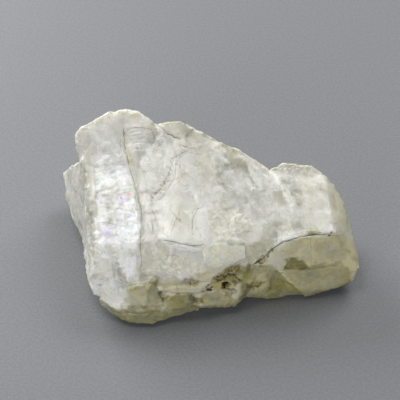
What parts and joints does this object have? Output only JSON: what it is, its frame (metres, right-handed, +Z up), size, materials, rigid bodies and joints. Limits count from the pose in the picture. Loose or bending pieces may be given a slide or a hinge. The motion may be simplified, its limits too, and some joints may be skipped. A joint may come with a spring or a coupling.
{
  "type": "petalite specimen",
  "caption": "Rough piece of milky petalite with pearly cleavage faces, fine cracks and a stained front, lying on a flat broken underside.",
  "frame": {"origin": "middle of the box's footprint, on the plane that the stone rests on", "axes": "+X along the length towards the low right end, +Y to the back, +Z up"},
  "size_m": [0.063, 0.0414, 0.028],
  "materials": {
    "petalite": "milky white to grey-green translucent silicate, pearly on the cleavage faces, yellowish and brown-stained on the broken front"
  },
  "bodies": {
    "root": {"petalite_stone": "petalite"}
  },
  "joints": []
}
